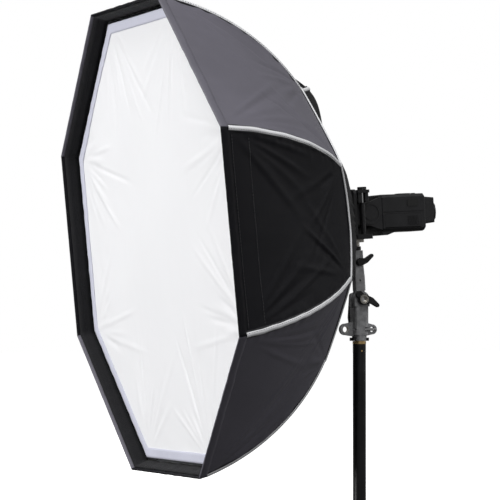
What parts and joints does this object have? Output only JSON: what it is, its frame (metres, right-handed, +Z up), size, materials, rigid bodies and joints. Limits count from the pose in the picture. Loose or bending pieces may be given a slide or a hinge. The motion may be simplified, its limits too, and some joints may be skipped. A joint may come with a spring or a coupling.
{
  "type": "studio softbox",
  "caption": "Eight-sided fabric softbox with a front diffuser, on a speedlight clamp and a tilting, swivelling bracket at the top of a light stand tube.",
  "frame": {"origin": "centre of the lower end of the stand tube, on the tube's axis", "axes": "+Z up along the stand tube, -Y the way the softbox faces (5.5 degrees nose-down at rest), +X along the bracket's tilt axis towards its lever"},
  "size_m": [0.7668, 0.5612, 0.8376],
  "materials": {
    "stand_black": "black anodised tube, satin",
    "brass": "turned brass",
    "black_plastic": "moulded, fine grain",
    "cast_grey": "cast, grey lacquer",
    "nickel": "nickel plated",
    "chrome": "polished plating",
    "clamp_black": "black powder coat",
    "rubber": "soft rubber",
    "rib_steel": "spring steel rod",
    "black_cloth": "coated nylon, fine weave",
    "grey_cloth": "coated nylon, fine weave, slight sheen",
    "lip_cloth": "hook-and-loop hem",
    "white_cloth": "translucent white nylon",
    "flash_plastic": "spark-eroded texture",
    "clear_lens": "ribbed fresnel lens",
    "screen": "clear window over a dark display",
    "red_window": "deep red translucent window",
    "button_rubber": "soft-touch button"
  },
  "bodies": {
    "stand": {"stand_tube": "stand_black", "stand_spigot": "brass", "tube_rivet": "brass", "tube_plug": "black_plastic"},
    "socket": {"socket_body": "cast_grey", "socket_guard": "black_plastic", "lug_eyelet": "nickel", "socket_pin": "chrome", "tilt_bolt": "chrome"},
    "lock_knob": {"stand_lock_knob": "black_plastic"},
    "tilt_lever": {"tilt_lever": "black_plastic", "tilt_lever_nut": "nickel"},
    "arm": {"tilt_arm": "cast_grey"},
    "arm_lever": {"arm_lever": "black_plastic"},
    "head": {"clamp_stud": "nickel", "stud_nut": "clamp_black", "clamp_frame": "clamp_black", "base_pad": "rubber", "flash_head": "flash_plastic", "flash_lens": "clear_lens", "speed_ring": "clamp_black", "rib_pins": "chrome", "black_panels": "black_cloth", "grey_panels": "grey_cloth", "rear_cap": "black_cloth", "front_lip": "lip_cloth", "diffuser": "white_cloth"},
    "jaw": {"clamp_jaw": "clamp_black", "jaw_pad": "rubber"},
    "knob_near": {"jaw_screw_near": "chrome", "jaw_knob_near": "black_plastic"},
    "knob_far": {"jaw_screw_far": "chrome", "jaw_knob_far": "black_plastic"},
    "yoke": {"flash_yoke": "flash_plastic"},
    "flash": {"flash_body": "flash_plastic", "flash_screen": "screen", "front_window": "red_window", "port_cover": "rubber", "flash_foot": "nickel"},
    "battery_door": {"battery_door": "flash_plastic"},
    "control_dial": {"control_dial": "flash_plastic"},
    "set_button": {"set_button": "button_rubber"},
    "mode_button": {"mode_button": "button_rubber"},
    "zoom_button": {"zoom_button": "button_rubber"},
    "light_button": {"light_button": "button_rubber"},
    "test_button": {"test_button": "button_rubber"},
    "foot_wheel": {"foot_wheel": "flash_plastic"},
    "rib_1": {"rib_1": "rib_steel"},
    "rib_2": {"rib_2": "rib_steel"},
    "rib_3": {"rib_3": "rib_steel"},
    "rib_4": {"rib_4": "rib_steel"},
    "rib_5": {"rib_5": "rib_steel"},
    "rib_6": {"rib_6": "rib_steel"},
    "rib_7": {"rib_7": "rib_steel"},
    "rib_8": {"rib_8": "rib_steel"}
  },
  "joints": [
    {"name": "pan", "type": "hinge", "parent": "stand", "child": "socket", "pos_m": [0, 0, 0.3095], "axis": [0, 0, 1], "continuous": true},
    {"name": "lock_knob_turn", "type": "hinge", "parent": "socket", "child": "lock_knob", "pos_m": [-0.0125, 0, 0.33], "axis": [1, 0, 0], "continuous": true},
    {"name": "tilt", "type": "hinge", "parent": "socket", "child": "arm", "pos_m": [0, 0, 0.36], "axis": [1, 0, 0], "range_deg": [-93, 33]},
    {"name": "tilt_lever_turn", "type": "hinge", "parent": "socket", "child": "tilt_lever", "pos_m": [0.0128, 0, 0.36], "axis": [1, 0, 0], "continuous": true},
    {"name": "arm_lever_turn", "type": "hinge", "parent": "arm", "child": "arm_lever", "pos_m": [0.0073, -0.00327, 0.42241], "axis": [1, 0, 0], "range_deg": [-110, 80]},
    {"name": "head_swivel", "type": "hinge", "parent": "arm", "child": "head", "pos_m": [0, -0.00366, 0.4299], "axis": [0, -0.0523, 0.9986], "range_deg": [-90, 90]},
    {"name": "jaw_slide", "type": "slide", "parent": "head", "child": "jaw", "axis": [0, -0.0523, 0.9986], "range_m": [0, 0.006]},
    {"name": "jaw_knob_near_turn", "type": "hinge", "parent": "jaw", "child": "knob_near", "pos_m": [0.043, -0.01456, 0.54229], "axis": [0, -0.0523, 0.9986], "range_deg": [0, 1080]},
    {"name": "jaw_knob_far_turn", "type": "hinge", "parent": "jaw", "child": "knob_far", "pos_m": [-0.043, -0.01456, 0.54229], "axis": [0, -0.0523, 0.9986], "range_deg": [0, 1080]},
    {"name": "rib_1_fold", "type": "hinge", "parent": "head", "child": "rib_1", "pos_m": [0.0619, -0.05305, 0.51356], "axis": [0.3827, 0.0885, -0.9196], "range_deg": [0, 45], "deforming": ["black_panels", "grey_panels", "rear_cap", "front_lip", "diffuser"]},
    {"name": "rib_2_fold", "type": "hinge", "parent": "head", "child": "rib_2", "pos_m": [0.02564, -0.05652, 0.54966], "axis": [0.9239, 0.0367, -0.3809], "range_deg": [0, 45]},
    {"name": "rib_3_fold", "type": "hinge", "parent": "head", "child": "rib_3", "pos_m": [-0.02564, -0.05652, 0.54966], "axis": [0.9239, -0.0367, 0.3809], "range_deg": [0, 45]},
    {"name": "rib_4_fold", "type": "hinge", "parent": "head", "child": "rib_4", "pos_m": [-0.0619, -0.05305, 0.51356], "axis": [0.3827, -0.0885, 0.9196], "range_deg": [0, 45]},
    {"name": "rib_5_fold", "type": "hinge", "parent": "head", "child": "rib_5", "pos_m": [-0.0619, -0.04813, 0.46252], "axis": [-0.3827, -0.0885, 0.9196], "range_deg": [0, 45]},
    {"name": "rib_6_fold", "type": "hinge", "parent": "head", "child": "rib_6", "pos_m": [-0.02564, -0.04466, 0.42642], "axis": [-0.9239, -0.0367, 0.3809], "range_deg": [0, 45]},
    {"name": "rib_7_fold", "type": "hinge", "parent": "head", "child": "rib_7", "pos_m": [0.02564, -0.04466, 0.42642], "axis": [-0.9239, 0.0367, -0.3809], "range_deg": [0, 45]},
    {"name": "rib_8_fold", "type": "hinge", "parent": "head", "child": "rib_8", "pos_m": [0.0619, -0.04813, 0.46252], "axis": [-0.3827, 0.0885, -0.9196], "range_deg": [0, 45]},
    {"name": "flash_bounce", "type": "hinge", "parent": "head", "child": "yoke", "pos_m": [0, 0.00453, 0.50293], "axis": [1, 0, 0], "range_deg": [-18, 0]},
    {"name": "flash_swivel", "type": "hinge", "parent": "yoke", "child": "flash", "pos_m": [0, 0.0258, 0.50405], "axis": [0, 0.9986, 0.0523], "range_deg": [-180, 180]},
    {"name": "battery_door_hinge", "type": "hinge", "parent": "flash", "child": "battery_door", "pos_m": [0.03565, 0.06499, 0.48222], "axis": [0, 0.9986, 0.0523], "range_deg": [0, 90]},
    {"name": "control_dial_turn", "type": "hinge", "parent": "flash", "child": "control_dial", "pos_m": [0, 0.0801, 0.53794], "axis": [0, -0.0523, 0.9986], "continuous": true},
    {"name": "set_button_press", "type": "slide", "parent": "flash", "child": "set_button", "axis": [0, 0.0523, -0.9986], "range_m": [0, 0.0008], "stiffness_N_per_m": 600, "springref_m": -0.0008},
    {"name": "mode_button_press", "type": "slide", "parent": "flash", "child": "mode_button", "axis": [0, 0.0523, -0.9986], "range_m": [0, 0.0008], "stiffness_N_per_m": 600, "springref_m": -0.0008},
    {"name": "zoom_button_press", "type": "slide", "parent": "flash", "child": "zoom_button", "axis": [0, 0.0523, -0.9986], "range_m": [0, 0.0008], "stiffness_N_per_m": 600, "springref_m": -0.0008},
    {"name": "light_button_press", "type": "slide", "parent": "flash", "child": "light_button", "axis": [0, 0.0523, -0.9986], "range_m": [0, 0.0008], "stiffness_N_per_m": 600, "springref_m": -0.0008},
    {"name": "test_button_press", "type": "slide", "parent": "flash", "child": "test_button", "axis": [0, 0.0523, -0.9986], "range_m": [0, 0.0008], "stiffness_N_per_m": 600, "springref_m": -0.0008},
    {"name": "foot_wheel_turn", "type": "hinge", "parent": "flash", "child": "foot_wheel", "pos_m": [0, 0.12965, 0.50949], "axis": [0, 0.9986, 0.0523], "continuous": true}
  ],
  "couplings": [
    {"joint": "jaw_knob_near_turn", "follows": "jaw_slide", "rad_per_m": 3141.6},
    {"joint": "jaw_knob_far_turn", "follows": "jaw_slide", "rad_per_m": 3141.6},
    {"joint": "rib_2_fold", "follows": "rib_1_fold", "ratio": 1},
    {"joint": "rib_3_fold", "follows": "rib_1_fold", "ratio": 1},
    {"joint": "rib_4_fold", "follows": "rib_1_fold", "ratio": 1},
    {"joint": "rib_5_fold", "follows": "rib_1_fold", "ratio": 1},
    {"joint": "rib_6_fold", "follows": "rib_1_fold", "ratio": 1},
    {"joint": "rib_7_fold", "follows": "rib_1_fold", "ratio": 1},
    {"joint": "rib_8_fold", "follows": "rib_1_fold", "ratio": 1}
  ]
}
